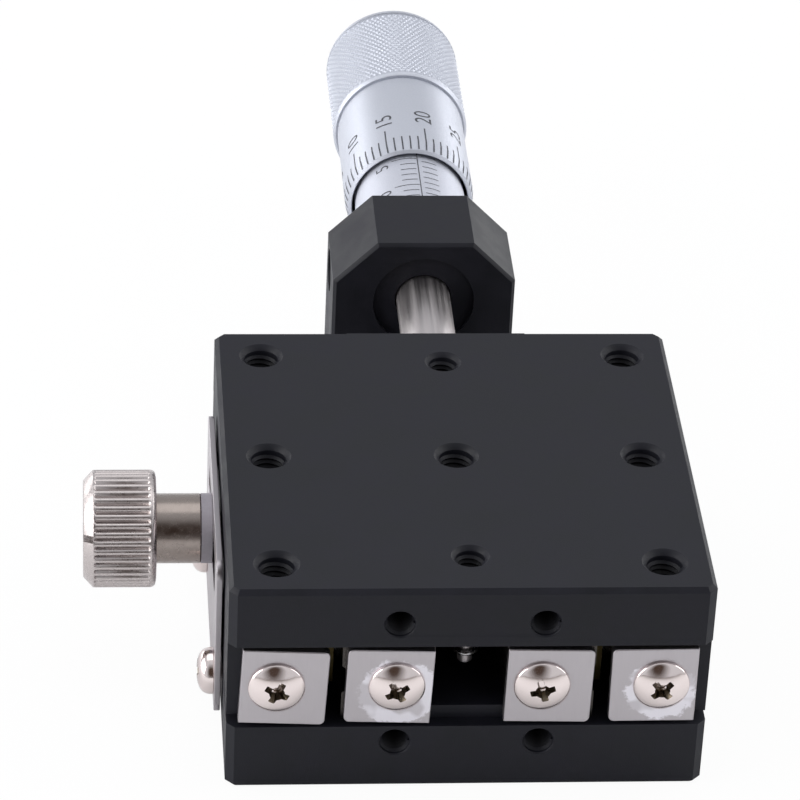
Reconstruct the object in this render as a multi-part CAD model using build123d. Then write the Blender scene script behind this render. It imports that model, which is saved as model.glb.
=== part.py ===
"""Manual linear translation stage, 40 mm square, crossed-roller ways, centre micrometer drive.

Millimetres. X is across the stage, +Y is the travel direction towards the micrometer, +Z is up.
The origin is the centre of the base plate's bottom face.
"""
import os
from math import cos, pi, radians, sin, sqrt

from build123d import *

# ---- overall -------------------------------------------------------------------------
stage_size = 40.0            # both plates are square
base_thickness = 6.3
rail_space = 8.1             # height between base plate and table plate
table_thickness = 5.6
corner_chamfer = 0.7         # upright corners of both plates
edge_chamfer = 0.4           # sharp edges broken all round
travel_forward = 6.5         # table travel towards -Y
travel_back = 4.685          # table travel towards +Y, down to a micrometer reading of zero

# ---- rails, rollers and cages ----------------------------------------------------------
end_setback = 1.1            # rails, land and legs stop this far inside the plates
land_width = 6.2             # raised land between the inner rails
land_height = 1.35
outer_rail_width = 6.7
rail_height = 7.7
race_gap = 1.5               # open gap between an inner and an outer rail
leg_thickness = 1.3          # side legs of the table
leg_clearance = 0.6          # under the legs
roller_diameter = 3.0
roller_clearance = 0.03
roller_end_play = 0.1
roller_pitch = 5.0
rollers_per_cage = 6
cage_thickness = 0.5
cage_height = 5.8
cage_end_margin = 1.25
cage_window_play = 0.2
rail_screw_y = 10.0
rail_screw_inset = 0.1       # from the middle of a rail's solid part, towards the stage's middle

# ---- end plates ------------------------------------------------------------------------
end_plate_width = 7.2
end_plate_height = 7.35
end_plate_thickness = 1.0
end_plate_offset = 0.62      # screw hole to plate centre, towards the race
end_plate_drop = 0.1         # plate centre below its screw hole
end_plate_corner = 0.5       # on the two corners beside the race
end_plate_tilts = (2.4, 1.7, 1.1, -0.3)   # degrees, each plate turns a little on its one screw

# ---- threads and screws ----------------------------------------------------------------
m3_radius = 1.5
m25_radius = 1.25
m2_radius = 1.0
thread_play = 0.03           # between a screw and its hole wall
clear_hole_play = 0.1        # between a screw and a plain hole it passes through
thread_run_out = 0.6         # hole left beyond a screw's tip
m3_sink_radius = 1.93        # countersunk mouths of the table holes
m25_sink_radius = 1.62
face_sink_radius = 1.36      # mouths of the holes in the front and rear faces
hole_pitch = 16.0            # mounting grid
small_hole_inset = 5.0       # from the table's front and rear edges
face_hole_x = 6.0
table_face_hole_drop = 3.35  # below the table's top face
base_face_hole_drop = 1.65   # below the base's top face
face_hole_depth = 5.0
base_hole_depth = 4.6
pan_head_radius = 2.36
pan_head_height = 1.0
pan_head_dome = 0.75         # share of a pan head's height that is domed
end_screw_length = 5.0
cap_head_radius = 2.2
cap_head_height = 2.5
cap_socket = 2.0             # across flats
cap_socket_depth = 1.4
cap_seat_play = 0.15         # round a head in its counterbore
rail_screw_grip = 3.4        # thread length in the plate
rail_head_depth = 2.7        # counterbore in the rails
preload_screw_y = (-10.0, 0.0, 10.0)
preload_screw_sunk = 0.1     # below the leg's face

# ---- return spring ---------------------------------------------------------------------
spring_axis_drop = 3.65      # spring axis below the table plate
spring_outer_radius = 1.5
spring_wire_radius = 0.2
spring_turns = 9
spring_leg = 2.2             # from a post to the first coil
spring_hook_play = 0.08      # between a hook and its post
spring_hook_turn = 250.0     # degrees of each hook's bend
post_radius = 0.63
post_fit = 0.01              # round the base post in its hole
post_tip_round = 0.15
table_post_length = 4.85     # below the table plate
table_post_grip = 2.2
base_post_inset = 11.0       # from the base's rear edge
base_post_grip = 3.0
post_tip = 1.1               # post beyond the spring axis

# ---- micrometer and its bracket --------------------------------------------------------
axis_drop = 0.65             # micrometer axis below the table plate's underside
bracket_width = 16.9
bracket_gap = 15.2           # base rear face to bracket head
bracket_head_thickness = 9.3
bracket_top_chamfer = 4.0
bracket_edge = 0.3
flange_thickness = 3.5
flange_height = 7.5
bracket_screw_z = 2.9
web_width = 7.0
web_height = 8.0
bracket_access_radius = 1.6  # key holes through the head
front_wall = 2.4             # in front of the stem bore
front_recess_radius = 4.7
front_recess_depth = 0.5
spindle_hole_radius = 2.65
set_screw_length = 2.6
set_screw_socket_depth = 0.9
set_screw_play = 0.02        # between its tip and the stem
set_screw_recess_radius = 2.0
set_screw_recess_depth = 0.8
stem_radius = 4.75
stem_lead_in = 0.3
sleeve_radius = 5.3
sleeve_end_radius = 4.1      # screwed end that carries the adjusting nut
sleeve_end_length = 6.0
sleeve_length = 27.3         # behind the bracket
adjusting_nut_radius = 5.2
adjusting_nut_length = 3.0
adjusting_nut_setback = 1.5  # behind the sleeve's shoulder
adjusting_nut_play = 0.02
spindle_radius = 2.5
spindle_play = 0.04
spindle_tip_chamfer = 0.3
exposed_sleeve = 8.8         # bracket to thimble at the rest position
thimble_radius = 6.2
thimble_bore_radius = 5.65
thimble_bevel = 0.2
thimble_fit = 0.01           # on the spindle
thimble_screw_play = 0.05
graduated_length = 14.3
knurl_radius = 6.62
knurled_length = 14.2
knurl_bevel = 0.35
thimble_end_wall = 3.0
thimble_end_round = 1.3
thimble_screw_radius = 3.2
thimble_screw_head = 1.0
thimble_screw_proud = 0.3
thimble_screw_edge = 0.2
thimble_screw_slot_width = 1.0
thimble_screw_slot_depth = 0.4

# ---- anvil on the table ----------------------------------------------------------------
anvil_width = 16.0
anvil_screw_x = 4.6
anvil_shelf_play = 0.05      # between its shoulders and the table plate's underside
anvil_thickness = 2.6
anvil_top_drop = 1.8         # below the table's top face
tongue_width = 5.2
tongue_depth = 3.2           # below the table plate's underside
pad_radius = 2.0
pad_proud = 0.3
pad_seat = 1.2
anvil_screw_sink_radius = 1.75
tip_play = 0.02

# ---- clamp on the left side ------------------------------------------------------------
clamp_plate_length = 24.0
clamp_plate_bottom = 1.5
clamp_plate_height = 15.3
clamp_plate_thickness = 0.5
clamp_plate_corner = 1.2
clamp_plate_standoff = 0.2
clamp_screw_y = 9.0
clamp_screw_z = 4.1
clamp_head_radius = 2.0
clamp_head_height = 1.4
clamp_screw_length = 4.0
clamp_axis_drop = 1.8        # clamp axis below the table plate's underside
clamp_stud_radius = 1.45
clamp_stud_play = 0.05
clamp_stud_lead_in = 0.3
clamp_stud_run_out = 0.4     # hole left beyond the stud's tip
clamp_stud_reach = 4.5       # into the table's side
clamp_slot_play = 0.25
clamp_washer_radius = 3.0
clamp_washer_thickness = 0.93
clamp_washer_play = 0.02
clamp_washer_bore_play = 0.1
clamp_neck_radius = 3.0
clamp_neck_length = 3.85
clamp_knob_radius = 5.15
clamp_knob_length = 6.2
clamp_knob_ridges = 40
clamp_ridge_depth = 0.28
clamp_knob_bevel = 0.85
clamp_knob_back_round = 0.4
clamp_knob_slot_width = 0.85
clamp_knob_slot_depth = 0.95
clamp_knob_slot_angle = 23.0

# ---- worked out from the sizes above ---------------------------------------------------
half = stage_size / 2
table_bottom = base_thickness + rail_space
table_top_z = table_bottom + table_thickness
race_z = base_thickness + rail_space / 2
rail_half_length = half - end_setback
land_half = land_width / 2
leg_inner_x = half - leg_thickness
outer_race_x = leg_inner_x - outer_rail_width
inner_race_x = outer_race_x - race_gap
race_x = (inner_race_x + outer_race_x) / 2
roller_corner = roller_diameter * sqrt(2)    # corner to corner of a roller's square side view
groove_depth = (roller_corner - race_gap) / 2
small_hole_y = half - small_hole_inset
table_post_y = -small_hole_y
base_post_y = half - base_post_inset
inner_screw_x = (land_half + inner_race_x - groove_depth) / 2 - rail_screw_inset
outer_screw_x = (outer_race_x + groove_depth + leg_inner_x) / 2 - rail_screw_inset
micrometer_z = table_bottom - axis_drop
head_front = half + bracket_gap
head_rear = head_front + bracket_head_thickness
thimble_front = head_rear + exposed_sleeve
knurl_front = thimble_front + graduated_length
thimble_end = knurl_front + knurled_length
anvil_face = half + anvil_thickness
tip_y = anvil_face + pad_proud + tip_play
anvil_top = table_top_z - anvil_top_drop
anvil_screw_z = (anvil_top + table_bottom) / 2
table_face_hole_z = table_top_z - table_face_hole_drop
base_face_hole_z = base_thickness - base_face_hole_drop
clamp_z = table_bottom - clamp_axis_drop
plate_inner_x = -(half + clamp_plate_standoff)
plate_outer_x = plate_inner_x - clamp_plate_thickness
washer_x = plate_outer_x - clamp_washer_play
neck_x = washer_x - clamp_washer_thickness
spring_z = table_bottom - spring_axis_drop
cut = 0.5                    # how far a cutting tool runs past a surface

left, right = -1, 1
to_rear = (0, 1, 0)
to_front = (0, -1, 0)
up = (0, 0, 1)
down = (0, 0, -1)


# ---- small helpers ---------------------------------------------------------------------
def rod(start, direction, length, radius):
    """A cylinder that starts at a point and runs along a direction."""
    stock = Cylinder(radius, length, align=(Align.CENTER, Align.CENTER, Align.MIN))
    return Plane(origin=start, z_dir=direction) * stock


def mouth(centre, outward, rim_radius, hole_radius):
    """A 45 degree countersink at a hole's mouth."""
    depth = rim_radius - hole_radius
    tool = Cone(hole_radius, rim_radius + cut, depth + cut, align=(Align.CENTER, Align.CENTER, Align.MIN))
    return Plane(origin=centre, z_dir=outward) * Pos(0, 0, -depth) * tool


def tapped_hole(centre, outward, hole_radius, depth, rim_radius):
    """The cutter of a tapped hole with its countersunk mouth."""
    inward = tuple(-value for value in outward)
    start = tuple(at + cut * step for at, step in zip(centre, outward))
    return rod(start, inward, depth + cut, hole_radius) + mouth(centre, outward, rim_radius, hole_radius)


def along_y(points, y_start, y_end):
    """A closed XZ outline drawn out along Y."""
    section = Plane(origin=(0, y_start, 0), x_dir=(1, 0, 0), z_dir=to_front)
    outline = make_face(section * Polyline(*points, close=True))
    return extrude(outline, amount=y_end - y_start, dir=to_rear)


def turned(points, origin, direction):
    """A closed outline of (radius, height) points turned about a direction."""
    outline = make_face(Plane.XZ * Polyline(*points, close=True))
    return Plane(origin=origin, z_dir=direction) * revolve(outline, axis=Axis.Z)


def plate_blank(z_low, thickness):
    """A square plate with chamfered corners and broken edges."""
    blank = Pos(0, 0, z_low) * extrude(Rectangle(stage_size, stage_size), thickness)
    blank = chamfer(blank.edges().filter_by(Axis.Z), corner_chamfer)
    return blank


def pan_head_screw(seat, outward, head_radius, head_height, shank_radius, length):
    """A domed screw; its head rests on the seat point."""
    rise = head_height * pan_head_dome
    ball_radius = (head_radius ** 2 + rise ** 2) / (2 * rise)
    head = Cylinder(head_radius, head_height, align=(Align.CENTER, Align.CENTER, Align.MIN))
    head &= Pos(0, 0, head_height - ball_radius) * Sphere(ball_radius)
    shank = Cylinder(shank_radius, length, align=(Align.CENTER, Align.CENTER, Align.MAX))
    return Plane(origin=seat, z_dir=outward) * (head + shank)


def cap_screw(seat, outward, head_radius, head_height, shank_radius, length):
    """A socket head cap screw; its head rests on the seat point."""
    head = Cylinder(head_radius, head_height, align=(Align.CENTER, Align.CENTER, Align.MIN))
    shank = Cylinder(shank_radius, length, align=(Align.CENTER, Align.CENTER, Align.MAX))
    socket = extrude(RegularPolygon(cap_socket / 2, 6, major_radius=False), head_height)
    screw = head + shank - Pos(0, 0, head_height - cap_socket_depth) * socket
    return Plane(origin=seat, z_dir=outward) * screw


def set_screw(mouth_point, inward, radius, length):
    """A headless screw with a hexagon socket, from its outer end inwards."""
    body = Cylinder(radius, length, align=(Align.CENTER, Align.CENTER, Align.MIN))
    socket_depth = min(set_screw_socket_depth, length / 2)
    socket = extrude(RegularPolygon(radius / 2, 6, major_radius=False), socket_depth)
    return Plane(origin=mouth_point, z_dir=inward) * (body - socket)


# ---- base ------------------------------------------------------------------------------
def base_plate():
    plate = plate_blank(0, base_thickness)
    plate = chamfer(plate.faces().sort_by(Axis.Z)[0].outer_wire().edges(), edge_chamfer)
    land = extrude(Rectangle(land_width, 2 * rail_half_length), land_height)
    plate += Pos(0, 0, base_thickness) * land
    for x in (-hole_pitch, hole_pitch):
        for y in (-hole_pitch, hole_pitch):
            plate -= tapped_hole((x, y, 0), down, m3_radius, base_hole_depth, m3_sink_radius)
    for x in (-face_hole_x, face_hole_x):
        front_centre = (x, -half, base_face_hole_z)
        plate -= tapped_hole(front_centre, to_front, m25_radius, face_hole_depth, face_sink_radius)
        plate -= rod((x, half + cut, bracket_screw_z), to_front, face_hole_depth + cut, m25_radius)
    for x in (-inner_screw_x, inner_screw_x):
        for y in (-rail_screw_y, rail_screw_y):
            depth = rail_screw_grip + thread_run_out + cut
            plate -= rod((x, y, base_thickness + cut), down, depth, m25_radius)
    for y in (-clamp_screw_y, clamp_screw_y):
        plate -= rod((-half - cut, y, clamp_screw_z), (1, 0, 0), clamp_screw_length + cut, m2_radius)
    plate -= rod((0, base_post_y, base_thickness - base_post_grip), up, rail_space, post_radius + post_fit)
    return plate


def rail(side, near_x, far_x, z_low):
    """One way: a bar with a 90 degree groove in the face at near_x."""
    groove_x = near_x + groove_depth * (1 if far_x > near_x else -1)
    outline = [(far_x, z_low), (near_x, z_low), (near_x, race_z - groove_depth), (groove_x, race_z),
               (near_x, race_z + groove_depth), (near_x, z_low + rail_height), (far_x, z_low + rail_height)]
    outline = [(side * x, z) for x, z in outline]
    return along_y(outline, -rail_half_length, rail_half_length)


def end_holes(x):
    """Cutters for the end plate screws in both ends of a rail."""
    length = end_screw_length - end_plate_thickness + thread_run_out
    front = rod((x, -rail_half_length - cut, race_z), to_rear, length + cut, m25_radius)
    rear = rod((x, rail_half_length + cut, race_z), to_front, length + cut, m25_radius)
    return front + rear


def inner_rail(side):
    bar = rail(side, inner_race_x, land_half, base_thickness)
    top = base_thickness + rail_height
    for y in (-rail_screw_y, rail_screw_y):
        foot = (side * inner_screw_x, y, base_thickness - cut)
        bar -= rod(foot, up, rail_height + 2 * cut, m25_radius + clear_hole_play)
        head = (side * inner_screw_x, y, top + cut)
        bar -= rod(head, down, rail_head_depth + cut, cap_head_radius + cap_seat_play)
    return bar - end_holes(side * inner_screw_x)


def inner_rail_screws():
    seat_z = base_thickness + rail_height - rail_head_depth
    length = seat_z - base_thickness + rail_screw_grip
    return [cap_screw((side * inner_screw_x, y, seat_z), up, cap_head_radius, cap_head_height,
                      m25_radius - thread_play, length)
            for side in (left, right) for y in (-rail_screw_y, rail_screw_y)]


def end_plate(centre_x, hole_x, y_sign, tilt):
    """A square retaining plate that covers one rail end, turned a little about its screw."""
    sheet = extrude(Rectangle(end_plate_width, end_plate_height), end_plate_thickness)
    corners = sheet.edges().filter_by(Axis.Z).sort_by(Axis.X)
    race_to_right = centre_x * (race_x - abs(centre_x)) > 0
    sheet = fillet(corners[-2:] if race_to_right else corners[:2], end_plate_corner)
    sheet = Pos(centre_x - hole_x, y_sign * end_plate_drop, 0) * sheet
    sheet -= Cylinder(m25_radius + clear_hole_play, 4 * end_plate_thickness)
    sheet = Rot(0, 0, tilt) * sheet
    face = Plane(origin=(hole_x, y_sign * rail_half_length, race_z), x_dir=(1, 0, 0), z_dir=(0, y_sign, 0))
    return face * sheet


def end_plates(hole_x, offset, front_tilts):
    """Four plates, on both ends of the two rails at plus and minus hole_x."""
    plates = []
    for side, tilt in zip((left, right), front_tilts):
        centre_x = side * (hole_x + offset)
        plates.append(end_plate(centre_x, side * hole_x, -1, -tilt))
        plates.append(end_plate(centre_x, side * hole_x, 1, 0))
    return plates


def end_plate_screws(hole_x):
    seat_y = rail_half_length + end_plate_thickness
    return [pan_head_screw((side * hole_x, sign * seat_y, race_z), (0, sign, 0), pan_head_radius,
                           pan_head_height, m25_radius - thread_play, end_screw_length)
            for side in (left, right) for sign in (-1, 1)]


def base_spring_post():
    bottom = base_thickness - base_post_grip
    length = spring_z + post_tip - bottom
    pin = rod((0, base_post_y, bottom), up, length, post_radius)
    return chamfer(pin.edges().sort_by(Axis.Z)[-1], post_tip_round)


# ---- table -----------------------------------------------------------------------------
def table():
    """The table plate with a thin leg down each side."""
    plate = plate_blank(table_bottom, table_thickness)
    plate = chamfer(plate.faces().sort_by(Axis.Z)[-1].outer_wire().edges(), edge_chamfer)
    leg_low = base_thickness + leg_clearance
    for side in (left, right):
        outline = [(side * leg_inner_x, leg_low), (side * half, leg_low),
                   (side * half, table_bottom), (side * leg_inner_x, table_bottom)]
        plate += along_y(outline, -rail_half_length, rail_half_length)
        for y in (-rail_screw_y, rail_screw_y):
            centre = (side * outer_screw_x, y, table_bottom - cut)
            plate -= rod(centre, up, rail_screw_grip + thread_run_out + cut, m25_radius)
    for x, y in [(x, y) for x in (-hole_pitch, hole_pitch) for y in (-hole_pitch, 0, hole_pitch)] + [(0, 0)]:
        plate -= tapped_hole((x, y, table_top_z), up, m3_radius, table_thickness + cut, m3_sink_radius)
    for y in (-small_hole_y, small_hole_y):
        plate -= tapped_hole((0, y, table_top_z), up, m25_radius, table_thickness + cut, m25_sink_radius)
    for x in (-face_hole_x, face_hole_x):
        centre = (x, -half, table_face_hole_z)
        plate -= tapped_hole(centre, to_front, m25_radius, face_hole_depth, face_sink_radius)
    for x in (-anvil_screw_x, anvil_screw_x):
        plate -= rod((x, half + cut, anvil_screw_z), to_front, face_hole_depth + cut, m2_radius)
    for y in preload_screw_y:
        plate -= rod((leg_inner_x - cut, y, race_z), (1, 0, 0), leg_thickness + 2 * cut, m25_radius)
    plate -= clamp_stud_hole()
    return plate


def clamp_stud_hole():
    """The hole in the left leg and left outer rail that the clamp screw turns in."""
    depth = clamp_stud_reach + clamp_stud_run_out
    return rod((-half - cut, 0, clamp_z), (1, 0, 0), depth + cut, clamp_stud_radius + clamp_stud_play)


def outer_rail(side):
    z_low = table_bottom - rail_height
    bar = rail(side, outer_race_x, leg_inner_x, z_low)
    for y in (-rail_screw_y, rail_screw_y):
        foot = (side * outer_screw_x, y, z_low - cut)
        bar -= rod(foot, up, rail_height + 2 * cut, m25_radius + clear_hole_play)
        bar -= rod(foot, up, rail_head_depth + cut, cap_head_radius + cap_seat_play)
    bar -= end_holes(side * outer_screw_x)
    return bar - clamp_stud_hole() if side == left else bar


def outer_rail_screws():
    seat_z = table_bottom - rail_height + rail_head_depth
    length = table_bottom - seat_z + rail_screw_grip
    return [cap_screw((side * outer_screw_x, y, seat_z), down, cap_head_radius, cap_head_height,
                      m25_radius - thread_play, length)
            for side in (left, right) for y in (-rail_screw_y, rail_screw_y)]


def preload_screws():
    length = leg_thickness - preload_screw_sunk
    return [set_screw((half - preload_screw_sunk, y, race_z), (-1, 0, 0), m25_radius - thread_play, length)
            for y in preload_screw_y]


def table_spring_post():
    """A pin screwed up into the small front hole; the spring hooks round its lower end."""
    grip = rod((0, table_post_y, table_bottom), up, table_post_grip, m25_radius - thread_play)
    pin = rod((0, table_post_y, table_bottom), down, table_post_length, post_radius)
    return grip + fillet(pin.edges().sort_by(Axis.Z)[0], post_tip_round)


def extension_spring():
    """One wire: an open coil with a round hook at each end, stretched between the two posts."""
    coil_radius = spring_outer_radius - spring_wire_radius
    coil_start = table_post_y + spring_leg
    coil_length = base_post_y - spring_leg - coil_start
    helix = Helix(pitch=coil_length / spring_turns, height=coil_length, radius=coil_radius)
    helix = Plane(origin=(0, coil_start, spring_z), x_dir=(1, 0, 0), z_dir=to_rear) * helix
    hook_radius = post_radius + spring_hook_play + spring_wire_radius
    front = CenterArc((0, table_post_y, spring_z), hook_radius, -spring_hook_turn, spring_hook_turn)
    rear = CenterArc((0, base_post_y, spring_z), hook_radius, 0, spring_hook_turn)
    front_leg = Spline(front @ 1, helix @ 0, tangents=(front % 1, helix % 0))
    rear_leg = Spline(helix @ 1, rear @ 0, tangents=(helix % 1, rear % 0))
    return wire_along(front, front_leg) + wire_along(helix) + wire_along(rear_leg, rear)


def wire_along(*stretches):
    """Round spring wire along stretches of line that run on into each other."""
    path = Wire(list(stretches))
    return sweep(Plane(origin=path @ 0, z_dir=path % 0) * Circle(spring_wire_radius), path=path)


def anvil_plate():
    """A T-shaped plate on the table's rear face; its tongue can run in between the inner rails."""
    tongue_low = table_bottom - tongue_depth
    w, t = anvil_width / 2, tongue_width / 2
    shelf = table_bottom + anvil_shelf_play
    outline = [(-w, anvil_top), (-w, shelf), (-t, shelf), (-t, tongue_low),
               (t, tongue_low), (t, shelf), (w, shelf), (w, anvil_top)]
    plate = along_y(outline, half, anvil_face)
    plate -= rod((0, anvil_face - pad_seat, micrometer_z), to_rear, pad_seat + cut, pad_radius)
    hole_radius = m2_radius + clear_hole_play
    for x in (-anvil_screw_x, anvil_screw_x):
        plate -= rod((x, half - cut, anvil_screw_z), to_rear, anvil_thickness + 2 * cut, hole_radius)
        plate -= mouth((x, anvil_face, anvil_screw_z), to_rear, anvil_screw_sink_radius, hole_radius)
    return plate


def anvil_pad():
    return rod((0, anvil_face - pad_seat, micrometer_z), to_rear, pad_seat + pad_proud, pad_radius)


def anvil_screws():
    """Two countersunk screws, heads flush with the anvil plate."""
    head = anvil_screw_sink_radius - thread_play
    shank = m2_radius - thread_play
    profile = [(0, 0), (head, 0), (shank, shank - head), (shank, -face_hole_depth), (0, -face_hole_depth)]
    return [turned(profile, (x, anvil_face, anvil_screw_z), to_rear) for x in (-anvil_screw_x, anvil_screw_x)]


# ---- roller cages ----------------------------------------------------------------------
def roller_stations():
    first = -(rollers_per_cage - 1) * roller_pitch / 2
    return [first + index * roller_pitch for index in range(rollers_per_cage)]


def rollers(side):
    """Cylinders whose axes lean 45 degrees to alternate sides."""
    diameter = roller_diameter - 2 * roller_clearance
    length = diameter - roller_end_play
    row = []
    for index, y in enumerate(roller_stations()):
        lean = 45 if index % 2 else -45
        row.append(Pos(side * race_x, y, race_z) * Rot(0, lean, 0) * Cylinder(diameter / 2, length))
    return row


def roller_cage(side):
    """A thin strip with one window for each roller."""
    half_length = roller_stations()[-1] + roller_diameter / 2 + cage_end_margin
    strip = Box(cage_thickness, 2 * half_length, cage_height)
    window = Box(4 * cage_thickness, roller_diameter + cage_window_play, roller_corner + cage_window_play)
    for y in roller_stations():
        strip -= Pos(0, y, 0) * window
    return Pos(side * race_x, 0, race_z) * strip


# ---- micrometer ------------------------------------------------------------------------
def micrometer_bracket():
    """A head that holds the stem, joined by a web to a flange on the base's rear face."""
    w = bracket_width / 2
    c = bracket_top_chamfer
    head = along_y([(-w, 0), (w, 0), (w, table_top_z - c), (w - c, table_top_z),
                    (-w + c, table_top_z), (-w, table_top_z - c)], head_front, head_rear)
    head = chamfer(head.faces().sort_by(Axis.Y)[0].outer_wire().edges(), bracket_edge)
    head = chamfer(head.faces().sort_by(Axis.Y)[-1].outer_wire().edges(), bracket_edge)
    v = web_width / 2
    web = along_y([(-v, 0), (v, 0), (v, web_height), (-v, web_height)], half, head_front + 1)
    flange = along_y([(-w, 0), (w, 0), (w, flange_height), (-w, flange_height)],
                     half, half + flange_thickness)
    bracket = head + web + flange
    thickness = bracket_head_thickness
    bracket -= rod((0, head_front + front_wall, micrometer_z), to_rear, thickness, stem_radius)
    bracket -= rod((0, head_front - cut, micrometer_z), to_rear, thickness, spindle_hole_radius)
    bracket -= rod((0, head_front - cut, micrometer_z), to_rear, cut + front_recess_depth,
                   front_recess_radius)
    for x in (-face_hole_x, face_hole_x):
        start = (x, half - cut, bracket_screw_z)
        bracket -= rod(start, to_rear, flange_thickness + 2 * cut, m25_radius + clear_hole_play)
        bracket -= rod((x, head_front - cut, bracket_screw_z), to_rear, thickness + 2 * cut,
                       bracket_access_radius)
    side_y = set_screw_y()
    bracket -= rod((-w - cut, side_y, micrometer_z), (1, 0, 0), w, m3_radius)
    bracket -= rod((-w - cut, side_y, micrometer_z), (1, 0, 0), set_screw_recess_depth + cut,
                   set_screw_recess_radius)
    return bracket


def set_screw_y():
    """The set screw stands at the middle of the stem bore."""
    return (head_front + front_wall + head_rear) / 2


def stem_set_screw():
    tip_x = -stem_radius - set_screw_play
    start = (tip_x - set_screw_length, set_screw_y(), micrometer_z)
    return set_screw(start, (1, 0, 0), m3_radius - thread_play, set_screw_length)


def bracket_screws():
    length = flange_thickness + face_hole_depth - thread_run_out
    return [cap_screw((x, half + flange_thickness, bracket_screw_z), to_rear, cap_head_radius,
                      cap_head_height, m25_radius - thread_play, length)
            for x in (-face_hole_x, face_hole_x)]


def micrometer_sleeve():
    """Stem, graduated sleeve and screwed rear end in one, bored for the spindle."""
    bore = spindle_radius + spindle_play
    front = head_front + front_wall
    stem_end = head_rear - front
    sleeve_end = stem_end + sleeve_length
    shoulder = sleeve_end - sleeve_end_length
    profile = [(bore, 0), (stem_radius - stem_lead_in, 0), (stem_radius, stem_lead_in),
               (stem_radius, stem_end), (sleeve_radius, stem_end), (sleeve_radius, shoulder),
               (sleeve_end_radius, shoulder), (sleeve_end_radius, sleeve_end), (bore, sleeve_end)]
    return turned(profile, (0, front, micrometer_z), to_rear)


def adjusting_nut():
    """The ring nut on the sleeve's screwed end, hidden in the thimble."""
    bore = sleeve_end_radius + adjusting_nut_play
    start = head_rear + sleeve_length - sleeve_end_length + adjusting_nut_setback
    profile = [(bore, 0), (adjusting_nut_radius, 0), (adjusting_nut_radius, adjusting_nut_length),
               (bore, adjusting_nut_length)]
    return turned(profile, (0, start, micrometer_z), to_rear)


def spindle():
    """The plain spindle, from the anvil to the thimble's end wall."""
    length = thimble_end - thimble_screw_head - tip_y
    tip = spindle_tip_chamfer
    profile = [(0, 0), (spindle_radius - tip, 0), (spindle_radius, tip), (spindle_radius, length),
               (0, length)]
    return turned(profile, (0, tip_y, micrometer_z), to_rear)


def thimble():
    """A cup turned in one piece: graduated front, raised knurled grip, closed end."""
    grip = graduated_length
    end = grip + knurled_length
    inside = end - thimble_end_wall
    hub = spindle_radius + thimble_fit
    screw_seat = thimble_screw_radius + thimble_screw_play
    step = knurl_radius - thimble_radius
    profile = [(thimble_bore_radius, 0), (thimble_radius - thimble_bevel, 0),
               (thimble_radius, thimble_bevel), (thimble_radius, grip),
               (thimble_radius + step / 3, grip), (knurl_radius, grip + knurl_bevel),
               (knurl_radius, end), (screw_seat, end), (screw_seat, end - thimble_screw_head),
               (hub, end - thimble_screw_head), (hub, inside), (thimble_bore_radius, inside)]
    cup = turned(profile, (0, thimble_front, micrometer_z), to_rear)
    rims = cup.edges().filter_by(GeomType.CIRCLE).sort_by(lambda edge: (edge.center().Y, edge.radius))
    return fillet(rims[-1], thimble_end_round)


def thimble_screw():
    """The slotted screw that holds the thimble on the spindle."""
    start = thimble_end - thimble_screw_head
    length = thimble_screw_head + thimble_screw_proud
    disc = rod((0, start, micrometer_z), to_rear, length, thimble_screw_radius)
    disc = chamfer(disc.edges().sort_by(Axis.Y)[-1], thimble_screw_edge)
    slot = Box(3 * thimble_screw_radius, 2 * thimble_screw_slot_depth, thimble_screw_slot_width)
    return disc - Pos(0, start + length, micrometer_z) * slot


# ---- side clamp ------------------------------------------------------------------------
def clamp_plate():
    """A thin steel plate on the base's side, slotted for the clamp screw's travel."""
    middle_z = clamp_plate_bottom + clamp_plate_height / 2
    sheet = extrude(RectangleRounded(clamp_plate_length, clamp_plate_height, clamp_plate_corner),
                    clamp_plate_thickness)
    slot_radius = clamp_stud_radius + clamp_slot_play
    slot_length = 2 * (max(travel_forward, travel_back) + slot_radius)
    slot = extrude(SlotOverall(slot_length, 2 * slot_radius), 4 * clamp_plate_thickness, both=True)
    sheet -= Pos(0, clamp_z - middle_z, 0) * slot
    for y in (-clamp_screw_y, clamp_screw_y):
        hole = Cylinder(m2_radius + clear_hole_play, 4 * clamp_plate_thickness)
        sheet -= Pos(y, clamp_screw_z - middle_z, 0) * hole
    face = Plane(origin=(plate_outer_x, 0, middle_z), x_dir=to_rear, z_dir=(1, 0, 0))
    return face * sheet


def clamp_plate_spacers():
    bore = m2_radius + clear_hole_play
    rim = clamp_head_radius
    profile = [(bore, 0), (rim, 0), (rim, clamp_plate_standoff), (bore, clamp_plate_standoff)]
    return [turned(profile, (-half, y, clamp_screw_z), (-1, 0, 0)) for y in (-clamp_screw_y, clamp_screw_y)]


def clamp_plate_screws():
    length = clamp_screw_length + clamp_plate_thickness + clamp_plate_standoff - thread_run_out
    return [pan_head_screw((plate_outer_x, y, clamp_screw_z), (-1, 0, 0), clamp_head_radius,
                           clamp_head_height, m2_radius - thread_play, length)
            for y in (-clamp_screw_y, clamp_screw_y)]


def clamp_washer():
    bore = clamp_stud_radius + clamp_washer_bore_play
    profile = [(bore, 0), (clamp_washer_radius, 0), (clamp_washer_radius, clamp_washer_thickness),
               (bore, clamp_washer_thickness)]
    return turned(profile, (washer_x, 0, clamp_z), (-1, 0, 0))


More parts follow.
